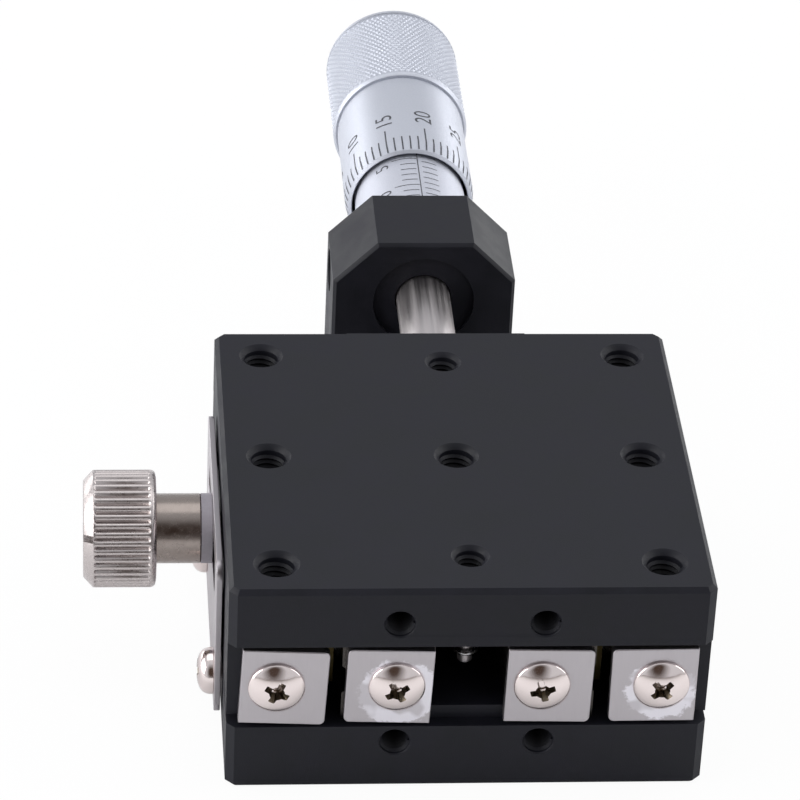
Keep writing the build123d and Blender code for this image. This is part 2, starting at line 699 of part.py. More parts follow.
def clamp_knob():
    """A thumb screw: straight-ridged head, plain neck and threaded stud in one piece."""
    back = clamp_neck_length
    end = back + clamp_knob_length
    r, b, f = clamp_knob_radius, clamp_knob_bevel, clamp_knob_back_round
    stud = clamp_stud_reach + neck_reach()
    lead = clamp_stud_lead_in
    profile = [(0, -stud), (clamp_stud_radius - lead, -stud), (clamp_stud_radius, lead - stud),
               (clamp_stud_radius, 0), (clamp_neck_radius, 0), (clamp_neck_radius, back), (r - f, back),
               (r, back + f), (r, end - b), (r - b / 3, end - b / 3), (r - b, end), (0, end)]
    screw = turned(profile, (0, 0, 0), up)
    valley = pi * r / clamp_knob_ridges                     # side of the square cutter between two ridges
    cutter = extrude(Rot(0, 0, 45) * Rectangle(valley, valley), clamp_knob_length - b)
    cutter = Pos(r + valley / sqrt(2) - clamp_ridge_depth, 0, back - cut / 10) * cutter
    screw -= [Rot(0, 0, 360 * index / clamp_knob_ridges) * cutter for index in range(clamp_knob_ridges)]
    slot = Box(3 * r, clamp_knob_slot_width, 2 * clamp_knob_slot_depth)
    screw -= Pos(0, 0, end) * slot
    seat = Plane(origin=(neck_x, 0, clamp_z), x_dir=slot_direction(), z_dir=(-1, 0, 0))
    return seat * screw


def neck_reach():
    """From the neck's shoulder to the table's side."""
    return -half - neck_x


def slot_direction():
    angle = radians(clamp_knob_slot_angle)
    return (0, -cos(angle), sin(angle))


# ---- write every piece -----------------------------------------------------------------
def pieces():
    inner_offset = end_plate_offset
    outer_offset = -end_plate_offset
    yield "base_plate", base_plate()
    yield "inner_rail_left", inner_rail(left)
    yield "inner_rail_right", inner_rail(right)
    yield "inner_rail_screws", inner_rail_screws()
    yield "inner_end_plates", end_plates(inner_screw_x, inner_offset, end_plate_tilts[1:3])
    yield "inner_end_plate_screws", end_plate_screws(inner_screw_x)
    yield "base_spring_post", base_spring_post()
    yield "table_top", table()
    yield "outer_rail_left", outer_rail(left)
    yield "outer_rail_right", outer_rail(right)
    yield "outer_rail_screws", outer_rail_screws()
    yield "outer_end_plates", end_plates(outer_screw_x, outer_offset, end_plate_tilts[::3])
    yield "outer_end_plate_screws", end_plate_screws(outer_screw_x)
    yield "preload_screws", preload_screws()
    yield "table_spring_post", table_spring_post()
    yield "extension_spring", extension_spring()
    yield "anvil_plate", anvil_plate()
    yield "anvil_pad", anvil_pad()
    yield "anvil_screws", anvil_screws()
    for side, name in ((left, "left"), (right, "right")):
        yield f"roller_cage_{name}", roller_cage(side)
        yield f"rollers_{name}", rollers(side)
    yield "micrometer_bracket", micrometer_bracket()
    yield "bracket_screws", bracket_screws()
    yield "stem_set_screw", stem_set_screw()
    yield "micrometer_sleeve", micrometer_sleeve()
    yield "adjusting_nut", adjusting_nut()
    yield "spindle", spindle()
    yield "thimble", thimble()
    yield "thimble_screw", thimble_screw()
    yield "clamp_plate", clamp_plate()
    yield "clamp_plate_spacers", clamp_plate_spacers()
    yield "clamp_plate_screws", clamp_plate_screws()
    yield "clamp_washer", clamp_washer()
    yield "clamp_knob", clamp_knob()


os.makedirs("parts", exist_ok=True)
for node, shape in pieces():
    if isinstance(shape, list):
        shape = Compound(children=[Part(piece.wrapped) for piece in shape])
    export_step(shape, f"parts/{node}.step")
    print(node)
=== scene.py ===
import math

import bmesh
import bpy
from mathutils import Matrix, Vector


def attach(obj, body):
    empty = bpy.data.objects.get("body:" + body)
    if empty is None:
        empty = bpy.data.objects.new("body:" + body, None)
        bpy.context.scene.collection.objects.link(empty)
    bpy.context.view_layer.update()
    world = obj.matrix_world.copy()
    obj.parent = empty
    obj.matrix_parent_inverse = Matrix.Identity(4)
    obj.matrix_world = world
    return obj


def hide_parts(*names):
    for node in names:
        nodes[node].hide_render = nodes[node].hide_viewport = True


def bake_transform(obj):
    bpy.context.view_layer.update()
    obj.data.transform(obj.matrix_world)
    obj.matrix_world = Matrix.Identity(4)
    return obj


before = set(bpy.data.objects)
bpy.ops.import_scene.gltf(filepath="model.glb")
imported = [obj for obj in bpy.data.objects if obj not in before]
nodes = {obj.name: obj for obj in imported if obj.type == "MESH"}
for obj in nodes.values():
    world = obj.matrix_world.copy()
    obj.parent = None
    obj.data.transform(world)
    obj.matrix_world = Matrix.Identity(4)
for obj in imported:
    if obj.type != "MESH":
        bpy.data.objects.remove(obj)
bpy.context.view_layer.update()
mm = 0.001
tau = 2 * math.pi
weld = 0.001 * mm                    # points closer than this are one
print("frame loaded:", len(nodes), "nodes")

# where the main features of the frame are, in metres
places = {
    "plateHalf": 20.0 * mm,          # the plates are 40 mm square
    "tableTop": 20.0 * mm,
    "endPlateFace": 19.9 * mm,       # before and behind Y = 0
    "raceZ": 10.35 * mm,
    "innerScrewX": 6.014 * mm,
    "outerScrewX": 15.936 * mm,
    "axisZ": 13.75 * mm,             # micrometer axis, over X = 0
    "thimbleFront": 53.3 * mm,
}


def linear(code):
    channels = [int(code[at:at + 2], 16) / 255 for at in (1, 3, 5)]
    light = [c / 12.92 if c <= 0.04045 else ((c + 0.055) / 1.055) ** 2.4 for c in channels]
    return tuple(light) + (1.0,)


def addNode(tree, kind, settings=None, links=None):
    # settings are the node's own properties (small letter) or its sockets (capital or number)
    node = tree.nodes.new("ShaderNode" + kind)
    for name, value in (settings or {}).items():
        if isinstance(name, str) and name[0].islower():
            setattr(node, name, value)
        else:
            node.inputs[name].default_value = value
    for name, source in (links or {}).items():
        tree.links.new(source, node.inputs[name])
    return node


def startMaterial(name, colour, roughness, metallic=0.0, **sockets):
    material = bpy.data.materials.new(name)
    material.use_nodes = True
    shader = material.node_tree.nodes["Principled BSDF"]
    shader.inputs["Base Color"].default_value = linear(colour)
    shader.inputs["Roughness"].default_value = roughness
    shader.inputs["Metallic"].default_value = metallic
    for socket, value in sockets.items():
        shader.inputs[socket.replace("_", " ")].default_value = value
    return material, material.node_tree, shader


def placeAt(point, outward, turn=0.0):
    # a piece is made along +Z and then laid along the outward direction, turned about it;
    # its own X stays level, whichever way it points
    toward = Vector(outward).normalized()
    side = Vector((1, 0, 0)) if abs(toward.x) < 0.9 else Vector((0, -1, 0))
    up = toward.cross(side)
    grid = Matrix((side, up, toward)).transposed().to_4x4()
    return Matrix.Translation(point) @ grid @ Matrix.Rotation(turn, 4, "Z")


def turnedBody(profile, steps):
    # profile is a list of (radius, height) in metres, closed on itself or from axis to axis
    bm = bmesh.new()
    points = [bm.verts.new((radius, 0, height)) for radius, height in profile]
    for a, b in zip(points, points[1:]):
        bm.edges.new((a, b))
    if profile[0][0] > 0:
        bm.edges.new((points[-1], points[0]))
    bmesh.ops.spin(bm, geom=bm.verts[:] + bm.edges[:], cent=(0, 0, 0), axis=(0, 0, 1), angle=tau,
                   steps=steps, use_merge=True)
    bmesh.ops.remove_doubles(bm, verts=bm.verts, dist=weld)
    bmesh.ops.recalc_face_normals(bm, faces=bm.faces)
    return bm


def makePiece(name, bm, body, material, sharpAngle=35):
    mesh = bpy.data.meshes.new(name)
    bm.to_mesh(mesh)
    bm.free()
    mesh.materials.append(material)
    mesh.shade_smooth()
    mesh.set_sharp_from_angle(angle=math.radians(sharpAngle))
    piece = bpy.data.objects.new(name, mesh)
    bpy.context.collection.objects.link(piece)
    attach(piece, body)
    return piece


def joinInto(target, source, matrix):
    # a placed copy of one bmesh goes into another
    mesh = bpy.data.meshes.new("copy")
    source.to_mesh(mesh)
    mesh.transform(matrix)
    target.from_mesh(mesh)
    bpy.data.meshes.remove(mesh)


finishes = {
    "anodised": "#18181e",           # between the two tones of its dye
    "anodisedDeep": "#15161c",
    "anodisedPale": "#1b1b23",
    # painted shade: the rail steel is far darker than bright ground steel, for the shade between the
    # plates
    "railSteelInShade": "#494643",
    "plateSteel": "#b6b1b4",
    "driedCompound": "#e2dfe5",
    "nickel": "#ebdfdc",
    "blackOxide": "#1a1a1b",
    "rollerSteel": "#8e8c8a",
    # painted shade: the cage brass is darkened for the shade between the rails
    "cageBrassInShade": "#4f452c",
    "springWire": "#b4b4b4",
    "satinChrome": "#c4c7d0",
    # painted light: the sleeve's chrome is lighter than the thimble's, to make up for the shade of
    # thimble and bracket
    "sleeveChromeLightened": "#caccd5",
    "groundSteel": "#cfc9c9",
    "knobNickel": "#c4bcba",
    "washerGrey": "#a49fa6",
    "neckSteel": "#9a908a",
    # painted shade: the darker nickel on the walls of the cross recess
    "recessNickelShaded": "#7a6f60",
    "engraving": "#3c3d42",          # between fresh and worn paint
    "engravingFresh": "#34353a",
    "engravingWorn": "#5b5c63",
}
noiseLow, noiseHigh = 0.3, 0.7       # most of a noise texture's values lie between these


blastedDye = {
    "clouds": 3.846 * mm,            # size of the mottle
    "cloudEdges": (0.32, 0.7),       # noise at which its two tones start
    "grain": 0.125 * mm,             # blasting leaves 0.05 mm, drawn coarser so that it shows
    "grainDepth": 0.04 * mm,
    "grainStrength": 0.25,
    "roughness": 0.5,
    "roughnessRange": (0.44, 0.56),
    "gloss": 0.235,                  # specular level, low so that the blasted faces stay matt
}


def anodisedAluminium():
    # black anodised aluminium, bead blasted first: matt, with a faint violet mottle of the dye
    d = blastedDye
    material, tree, shader = startMaterial("anodisedAluminium", finishes["anodised"], d["roughness"],
                                           IOR=1.5, Specular_IOR_Level=d["gloss"])
    place = addNode(tree, "TexCoord")
    mottle = addNode(tree, "TexNoise", {"Scale": 1 / d["clouds"], "Detail": 3.0, "Roughness": 0.6},
                     {"Vector": place.outputs["Object"]})
    tone = addNode(tree, "ValToRGB", None, {"Fac": mottle.outputs["Fac"]})
    for stop, edge, colour in zip(tone.color_ramp.elements, d["cloudEdges"],
                                  ("anodisedDeep", "anodisedPale")):
        stop.position = edge
        stop.color = linear(finishes[colour])
    tree.links.new(tone.outputs["Color"], shader.inputs["Base Color"])
    grain = addNode(tree, "TexNoise", {"Scale": 1 / d["grain"], "Detail": 2.0},
                    {"Vector": place.outputs["Object"]})
    bump = addNode(tree, "Bump", {"Strength": d["grainStrength"], "Distance": d["grainDepth"]},
                   {"Height": grain.outputs["Fac"]})
    tree.links.new(bump.outputs["Normal"], shader.inputs["Normal"])
    smoothest, roughest = d["roughnessRange"]
    sheen = addNode(tree, "MapRange", {"From Min": noiseLow, "From Max": noiseHigh, "To Min": smoothest,
                                       "To Max": roughest}, {"Value": mottle.outputs["Fac"]})
    tree.links.new(sheen.outputs["Result"], shader.inputs["Roughness"])
    return material


def groundMetal(name, colour, roughness, stretch, pitch, depth, spread, strength=0.35):
    # ground or drawn steel: fine lines run one way and smear its highlights across them
    # stretch scales Object space so that the lines run along the axis with the small number
    material, tree, shader = startMaterial(name, colour, roughness, 1.0)
    place = addNode(tree, "TexCoord")
    along = addNode(tree, "Mapping", {"Scale": stretch}, {"Vector": place.outputs["Object"]})
    lines = addNode(tree, "TexNoise", {"Scale": 1 / pitch, "Detail": 2.0},
                    {"Vector": along.outputs["Vector"]})
    bump = addNode(tree, "Bump", {"Strength": strength, "Distance": depth},
                   {"Height": lines.outputs["Fac"]})
    tree.links.new(bump.outputs["Normal"], shader.inputs["Normal"])
    gloss = addNode(tree, "MapRange",
                    {"From Min": noiseLow, "From Max": noiseHigh, "To Min": roughness - spread,
                     "To Max": roughness + spread}, {"Value": lines.outputs["Fac"]})
    tree.links.new(gloss.outputs["Result"], shader.inputs["Roughness"])
    return material


peelRange = (0.8, 1.25)              # shares of its roughness between which plating varies


def platedMetal(name, colour, roughness, grit, depth, metallic=1.0, strength=0.2):
    # plated steel: bright, with a faint orange peel of the plating; a satin bath leaves part of it matt
    material, tree, shader = startMaterial(name, colour, roughness, metallic)
    place = addNode(tree, "TexCoord")
    peel = addNode(tree, "TexNoise", {"Scale": 1 / grit, "Detail": 2.0},
                   {"Vector": place.outputs["Object"]})
    bump = addNode(tree, "Bump", {"Strength": strength, "Distance": depth},
                   {"Height": peel.outputs["Fac"]})
    tree.links.new(bump.outputs["Normal"], shader.inputs["Normal"])
    gloss = addNode(tree, "MapRange",
                    {"From Min": noiseLow, "From Max": noiseHigh, "To Min": roughness * peelRange[0],
                     "To Max": roughness * peelRange[1]}, {"Value": peel.outputs["Fac"]})
    tree.links.new(gloss.outputs["Result"], shader.inputs["Roughness"])
    return material


smears = {
    "bites": 1.1111 * mm,            # size of the bites in a smear's edge
    "biteDepth": 2.2 * mm,
    "edge": (1.25 * mm, 1.0 * mm),   # beyond its reach a smear starts and is full
    "flakes": 3.03 * mm,             # size of the patches that flaked off
    "flakeEdges": (0.42, 0.5),
    "flakeRest": 0.3,                # share of the smear that is left on them
    "below": 0.65 * mm,              # a smear's centre under its screw
    "centres": ((-places["innerScrewX"] + 0.15 * mm, 3.2 * mm),    # X, reach
                (places["outerScrewX"], 2.85 * mm)),
}


def smearedPlate():
    # rolled plate whose screws were locked with thread compound: pale dried smears round two heads
    material = groundMetal("rolledPlateSteel", finishes["plateSteel"], roughness=0.36,
                           stretch=(1, 1, 0.06), pitch=0.12 * mm, depth=0.002 * mm, spread=0.06)
    tree = material.node_tree
    shader = tree.nodes["Principled BSDF"]
    place = addNode(tree, "TexCoord")
    ragged = addNode(tree, "TexNoise", {"Scale": 1 / smears["bites"], "Detail": 4.0, "Roughness": 0.7},
                     {"Vector": place.outputs["Object"]})
    patchy = addNode(tree, "TexNoise", {"Scale": 1 / smears["flakes"], "Detail": 2.0},
                     {"Vector": place.outputs["Object"]})
    bare, full = smears["edge"]
    masks = []
    for x, reach in smears["centres"]:
        centre = (x, -places["endPlateFace"], places["raceZ"] - smears["below"])
        away = addNode(tree, "VectorMath", {"operation": "DISTANCE", 1: centre},
                       {0: place.outputs["Object"]})
        bitten = addNode(tree, "Math", {"operation": "MULTIPLY_ADD", 1: smears["biteDepth"]},
                         {0: ragged.outputs["Fac"], 2: away.outputs["Value"]})
        masks.append(addNode(tree, "MapRange", {"From Min": reach + bare, "From Max": reach + full},
                             {"Value": bitten.outputs[0]}))
    either = addNode(tree, "Math", {"operation": "MAXIMUM"},
                     {0: masks[0].outputs["Result"], 1: masks[1].outputs["Result"]})
    gone, kept = smears["flakeEdges"]
    broken = addNode(tree, "MapRange",
                     {"From Min": gone, "From Max": kept, "To Min": smears["flakeRest"]},
                     {"Value": patchy.outputs["Fac"]})
    smear = addNode(tree, "Math", {"operation": "MULTIPLY"},
                    {0: either.outputs[0], 1: broken.outputs["Result"]})
    tone = addNode(tree, "ValToRGB", None, {"Fac": smear.outputs[0]})
    tone.color_ramp.elements[0].color = linear(finishes["plateSteel"])
    tone.color_ramp.elements[1].color = linear(finishes["driedCompound"])
    tree.links.new(tone.outputs["Color"], shader.inputs["Base Color"])
    return material


paintWear = {
    "patches": 0.3333 * mm,
    "edges": (0.35, 0.75),           # noise at which fresh paint ends and worn paint starts
    "roughness": 0.6,
}


def paintedEngraving():
    # dark paint in engraved lines: matt and nearly black, a little paler where it is worn
    material, tree, shader = startMaterial("paintedEngraving", finishes["engraving"],
                                           paintWear["roughness"])
    place = addNode(tree, "TexCoord")
    wear = addNode(tree, "TexNoise", {"Scale": 1 / paintWear["patches"], "Detail": 2.0},
                   {"Vector": place.outputs["Object"]})
    tone = addNode(tree, "ValToRGB", None, {"Fac": wear.outputs["Fac"]})
    for stop, edge, colour in zip(tone.color_ramp.elements, paintWear["edges"],
                                  ("engravingFresh", "engravingWorn")):
        stop.position = edge
        stop.color = linear(finishes[colour])
    tree.links.new(tone.outputs["Color"], shader.inputs["Base Color"])
    return material


# grinding lines are some 0.05 mm apart and a plating's peel some 0.1 mm across: drawn coarser, to show
anodised = anodisedAluminium()
# painted shade: the rails' steel is darkened for the shade they lie in between the plates
railSteelInShade = groundMetal("groundRailSteelPaintedShade", finishes["railSteelInShade"], roughness=0.3, stretch=(1, 0.03, 1),
                        pitch=0.15 * mm, depth=0.004 * mm, spread=0.06)
plateSteel = smearedPlate()
nickel = platedMetal("nickelPlate", finishes["nickel"], roughness=0.13, grit=0.25 * mm,
                     depth=0.002 * mm)
rollerSteel = platedMetal("polishedRollerSteel", finishes["rollerSteel"], roughness=0.12, grit=0.3 * mm,
                          depth=0.001 * mm)
# painted shade: darkened brass for the shade the cages lie in
brassInShade = platedMetal("rolledBrassPaintedShade", finishes["cageBrassInShade"], roughness=0.42, grit=0.4 * mm,
                    depth=0.002 * mm)
springWire = platedMetal("drawnSpringWire", finishes["springWire"], roughness=0.26, grit=0.2 * mm,
                         depth=0.002 * mm)
satinChrome = platedMetal("satinChrome", finishes["satinChrome"], roughness=0.5, grit=0.12 * mm,
                          depth=0.003 * mm, metallic=0.8, strength=0.06)
groundSteel = groundMetal("groundSpindleSteel", finishes["groundSteel"], roughness=0.42,
                          stretch=(1, 0.02, 1), pitch=0.4 * mm, depth=0.008 * mm, spread=0.1)
# painted light: a lighter copy of the satin chrome for the sleeve, against the shade of thimble and
# bracket
sleeveChromeLightened = platedMetal("sleeveSatinChromeLightened", finishes["sleeveChromeLightened"], roughness=0.58,
                           grit=0.12 * mm, depth=0.003 * mm, metallic=0.8, strength=0.06)
neckSteel = platedMetal("turnedNeckSteel", finishes["neckSteel"], roughness=0.24, grit=0.6 * mm,
                        depth=0.006 * mm, strength=0.15)
# painted shade: darker nickel for the walls of the cross recess
recessNickelShaded = platedMetal("recessNickelPaintedShade", finishes["recessNickelShaded"], roughness=0.3, grit=0.2 * mm,
                           depth=0.004 * mm)
knobNickel = platedMetal("knobNickel", finishes["knobNickel"], roughness=0.3, grit=0.35 * mm,
                         depth=0.006 * mm, strength=0.4)
washerGrey = platedMetal("zincWasher", finishes["washerGrey"], roughness=0.6, grit=0.2 * mm,
                         depth=0.003 * mm, metallic=0.3)
blackOxide = platedMetal("blackOxideSteel", finishes["blackOxide"], roughness=0.35, grit=0.2 * mm,
                         depth=0.003 * mm)
engraving = paintedEngraving()

nodeFinishes = {
    "base_plate": anodised, "table_top": anodised, "micrometer_bracket": anodised,
    "anvil_plate": anodised,
    "inner_rail_left": railSteelInShade, "inner_rail_right": railSteelInShade,
    "outer_rail_left": railSteelInShade, "outer_rail_right": railSteelInShade,
    "inner_end_plates": plateSteel, "outer_end_plates": plateSteel, "clamp_plate": plateSteel,
    "clamp_plate_spacers": plateSteel,
    "inner_end_plate_screws": nickel, "outer_end_plate_screws": nickel, "clamp_plate_screws": nickel,
    "roller_cage_left": brassInShade, "roller_cage_right": brassInShade,
    "rollers_left": rollerSteel, "rollers_right": rollerSteel,
    "extension_spring": springWire, "base_spring_post": groundSteel, "table_spring_post": groundSteel,
    "inner_rail_screws": blackOxide, "outer_rail_screws": blackOxide, "bracket_screws": blackOxide,
    "preload_screws": blackOxide, "stem_set_screw": blackOxide, "anvil_screws": blackOxide,
    "micrometer_sleeve": sleeveChromeLightened, "adjusting_nut": sleeveChromeLightened, "thimble": satinChrome,
    "thimble_screw": satinChrome, "spindle": groundSteel, "anvil_pad": groundSteel,
    "clamp_washer": washerGrey, "clamp_knob": knobNickel,
}
for nodeName, finish in nodeFinishes.items():
    node = nodes[nodeName]
    if not node.material_slots:
        node.data.materials.append(finish)
    for slotOfNode in node.material_slots:
        slotOfNode.material = finish
missed = sorted(set(nodes) - set(nodeFinishes))
print("materials on", len(nodeFinishes), "nodes, missed:", missed)


panHead = {
    "steps": 72,
    "end": {"radius": 2.36, "height": 1.0, "shank": 1.2, "length": 4.8},    # mm
    "side": {"radius": 2.0, "height": 1.4, "shank": 0.95, "length": 3.9, "squareness": 2.7},
    "dome": 0.75,                    # share of the head's height that is domed
    "domeParts": 9,
    "rimRound": ((0.02, 0.03), (0, 0.09)),    # mm in from the rim, and down from the dome
    "domeIn": 0.07,                  # mm in from the rim, where the dome ends
    "footEdge": (0.05, 0.06),        # mm in and up, at the seat
    "shoulderParts": 14,
    "shoulderFoot": 0.08,            # mm above the seat
    "innerTurns": (30, 15, 50, 8),   # degrees, as each screw came to rest: front, then rear
    "outerTurns": (62, 42, 20, 71),
    "clampSeats": ((-9, 33), (9, 12)),        # Y in mm and turn
    "clampFace": -20.7 * mm,
    "clampZ": 4.1 * mm,
    "shadedTo": 30,                  # degrees
}

recess = {
    "span": 2.65 * mm,               # tip to tip
    "width": 0.66 * mm,
    "depth": 0.95 * mm,
    "taper": (0.42, 0.6),            # the floor's share of span and width
    "corner": 0.08 * mm,
    "coneTip": 0.36 * mm,
    "coneMouth": 0.74 * mm,
    "coneExtra": 0.45 * mm,
    "overrun": 0.3 * mm,             # the cutters stand out of the head this far
    "wallSlope": 0.9,                # faces that look less upwards than this are walls
}


def headProfile(size):
    # a low dome with a rounded rim, or a pan with full round shoulders, over a plain shank
    radius, height = size["radius"], size["height"]
    inward, foot = panHead["footEdge"]
    below = [(radius, foot), (radius - inward, 0), (size["shank"], 0), (size["shank"], -size["length"]),
             (0, -size["length"])]
    if "squareness" in size:
        power, start = 2 / size["squareness"], panHead["shoulderFoot"]
        turns = [tau / 4 * part / panHead["shoulderParts"] for part in range(panHead["shoulderParts"])]
        return [(radius * math.sin(a) ** power, start + (height - start) * math.cos(a) ** power)
                for a in turns] + below
    rise = height * panHead["dome"]
    ball = (radius ** 2 + rise ** 2) / (2 * rise)
    reach = math.asin((radius - panHead["domeIn"]) / ball)
    turns = [reach * part / panHead["domeParts"] for part in range(panHead["domeParts"] + 1)]
    dome = [(ball * math.sin(a), height - ball + ball * math.cos(a)) for a in turns]
    return dome + [(radius - back, height - rise - down) for back, down in panHead["rimRound"]] + below


def crossRecess(height):
    # the tapered cross for a driver: two wings and a cone, cut one after the other
    cutters = []
    top, deep = height + recess["overrun"], recess["depth"] + recess["overrun"]
    for turn in (0, tau / 4):
        bm = bmesh.new()
        bmesh.ops.create_cube(bm, size=1)
        bmesh.ops.scale(bm, verts=bm.verts, vec=(recess["span"], recess["width"], deep))
        low = [v for v in bm.verts if v.co.z < 0]
        bmesh.ops.scale(bm, verts=low, vec=(*recess["taper"], 1))
        upright = [e for e in bm.edges if abs(e.verts[0].co.z - e.verts[1].co.z) > deep / 2]
        bmesh.ops.bevel(bm, geom=upright, offset=recess["corner"], offset_type="OFFSET", segments=2,
                        profile=0.5, affect="EDGES", material=-1)
        lift = Matrix.Translation((0, 0, top - deep / 2))
        bmesh.ops.transform(bm, matrix=lift @ Matrix.Rotation(turn, 4, "Z"), verts=bm.verts)
        cutters.append(bm)
    cone = bmesh.new()
    tall = recess["depth"] + recess["coneExtra"]
    bmesh.ops.create_cone(cone, cap_ends=True, segments=24, radius1=recess["coneTip"],
                          radius2=recess["coneMouth"], depth=tall)
    bmesh.ops.translate(cone, verts=cone.verts, vec=(0, 0, top - tall / 2))
    cutters.append(cone)
    return cutters


def cutAway(bm, cutters):
    # boolean modifiers on a passing object, taken back as a bmesh
    mesh = bpy.data.meshes.new("blank")
    bm.to_mesh(mesh)
    bm.free()
    blank = bpy.data.objects.new("blank", mesh)
    bpy.context.collection.objects.link(blank)
    passing = [blank]
    for number, cutter in enumerate(cutters):
        tool = bpy.data.objects.new("cutter%d" % number, bpy.data.meshes.new("cutter%d" % number))
        cutter.to_mesh(tool.data)
        cutter.free()
        bpy.context.collection.objects.link(tool)
        cut = blank.modifiers.new("cut%d" % number, "BOOLEAN")
        cut.operation = "DIFFERENCE"
        cut.solver = "EXACT"
        cut.object = tool
        passing.append(tool)
    bpy.context.view_layer.update()
    graph = bpy.context.evaluated_depsgraph_get()
    finished = bpy.data.meshes.new_from_object(blank.evaluated_get(graph))
    result = bmesh.new()
    result.from_mesh(finished)
    for thing in passing:
        bpy.data.meshes.remove(thing.data)
    bpy.data.meshes.remove(finished)
    return result


def panScrews(name, node, body, size, seats):
    # seats are (point under the head, outward direction, turn in degrees)
    whole = bmesh.new()
    top = size["height"] * mm
    profile = [(radius * mm, height * mm) for radius, height in headProfile(size)]
    one = cutAway(turnedBody(profile, panHead["steps"]), crossRecess(top))
    for face in one.faces:           # the walls of the recess get a darker nickel: painted shade in the recess
        middle = face.calc_center_median()
        inside = 0 < middle.z < top and middle.xy.length < recess["span"] / 2
        if inside and abs(face.normal.z) < recess["wallSlope"]:
            face.material_index = 1
    for point, outward, turn in seats:
        joinInto(whole, one, placeAt(point, outward, math.radians(turn)))
    one.free()
    piece = makePiece(name, whole, body, nickel, panHead["shadedTo"])
    piece.data.materials.append(recessNickelShaded)
    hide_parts(node)


def endSeats(x, turns):
    # both ends of the two rails at plus and minus x
    front, high = -places["endPlateFace"], places["raceZ"]
    return [((-x, front, high), (0, -1, 0), turns[0]), ((x, front, high), (0, -1, 0), turns[1]),
            ((-x, -front, high), (0, 1, 0), turns[2]), ((x, -front, high), (0, 1, 0), turns[3])]


panScrews("innerPlateScrews", "inner_end_plate_screws", "base", panHead["end"],
          endSeats(places["innerScrewX"], panHead["innerTurns"]))
panScrews("outerPlateScrews", "outer_end_plate_screws", "table", panHead["end"],
          endSeats(places["outerScrewX"], panHead["outerTurns"]))
panScrews("clampPlateScrews", "clamp_plate_screws", "base", panHead["side"],
          [((panHead["clampFace"], y * mm, panHead["clampZ"]), (-1, 0, 0), turn)
           for y, turn in panHead["clampSeats"]])
print("pan head screws done")


brokenEdges = {
    "sheet": 0.09 * mm,              # tumbled edge of the stamped sheet
    "milled": 0.11 * mm,             # edge of the blasted block
    "segments": 2,
    "flatWithin": 1,                 # degrees: triangles this level with each other are one face
    "sharper": 30,                   # degrees between faces, from which an edge is broken
    "shadedTo": 40,                  # degrees, up to which the broken edge shades as round
    "flatFrom": 4 * mm * mm,         # area from which a face counts as milled flat
}


def softened(name, node, body, material, width):
    # the node's own shape with its sharp outer edges broken
    bm = bmesh.new()
    bm.from_mesh(nodes[node].data)
    bmesh.ops.remove_doubles(bm, verts=bm.verts, dist=2 * weld)
    bmesh.ops.dissolve_limit(bm, angle_limit=math.radians(brokenEdges["flatWithin"]), verts=bm.verts,
                             edges=bm.edges)
    sharp = [e for e in bm.edges if len(e.link_faces) == 2
             and e.calc_face_angle_signed() > math.radians(brokenEdges["sharper"])]
    bmesh.ops.bevel(bm, geom=sharp, offset=width, offset_type="OFFSET",
                    segments=brokenEdges["segments"], profile=0.5, affect="EDGES", material=-1,
                    clamp_overlap=True)
    piece = makePiece(name, bm, body, material, brokenEdges["shadedTo"])
    for polygon in piece.data.polygons:      # milled faces stay flat between their rounded edges
        if polygon.area > brokenEdges["flatFrom"]:
            polygon.use_smooth = False
    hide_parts(node)


sheetEdge, milledEdge = brokenEdges["sheet"], brokenEdges["milled"]
softened("innerEndPlates", "inner_end_plates", "base", plateSteel, sheetEdge)
softened("outerEndPlates", "outer_end_plates", "table", plateSteel, sheetEdge)
softened("clampPlate", "clamp_plate", "base", plateSteel, sheetEdge)
softened("tableBlock", "table_top", "table", anodised, milledEdge)
softened("baseBlock", "base_plate", "base", anodised, milledEdge)
softened("bracketBlock", "micrometer_bracket", "base", anodised, milledEdge)
print("plates and blocks done")


thumbScrew = {
    "seat": (-21.65, 0, 12.6),       # mm from here on: where the neck meets the washer
    "studRadius": 1.4,
    "neckRadius": 3.0,
    "neckLength": 3.85,
    "neckEdge": 0.12,
    "radius": 5.03,
    "length": 6.2,
    # rounds of the head: in from its radius, and along from its inner or to its outer face
    "innerRound": ((0.55, 0), (0.22, 0.08), (0.06, 0.24), (0, 0.4)),
    "outerRound": ((0.03, 0.81), (0.79, 0.1), (0.93, 0)),
    "ridges": 40,
    "pointsPerRidge": 8,
    "ridgeDepth": 0.38,
    "ridgeShape": 1.25,              # higher makes broader crests and narrower valleys
    "ridgesFrom": 0.5,               # from the head's inner face
    "ridgesTo": 5.3,
    "ridgeFade": 0.22,
    "slotLength": 14,                # longer than the head, so that it runs out at both sides
    "slotWidth": 0.62,
    "slotDepth": 0.85,
    "slotTurn": 23,                  # degrees above the level, at the front
    "near": 0.01,                    # how closely a point counts as on a face
    "shadedTo": 40,                  # degrees
}


def thumbScrewProfile(stud):
    t = thumbScrew
    r, back = t["radius"], t["neckLength"]
    end = back + t["length"]
    first, last, fade = back + t["ridgesFrom"], back + t["ridgesTo"], t["ridgeFade"]
    neck, edge = t["neckRadius"], t["neckEdge"]
    points = [(0, -stud), (t["studRadius"], -stud), (t["studRadius"], 0), (neck - edge, 0),
              (neck, edge), (neck, back)]
    points += [(r - inward, back + along) for inward, along in t["innerRound"]]
    points += [(r, first), (r, first + fade / 2), (r, first + fade),
               (r, last - fade), (r, last - fade / 2), (r, last)]
    points += [(r - inward, end - along) for inward, along in t["outerRound"]]
    points.append((0, end))
    return [(radius * mm, height * mm) for radius, height in points]


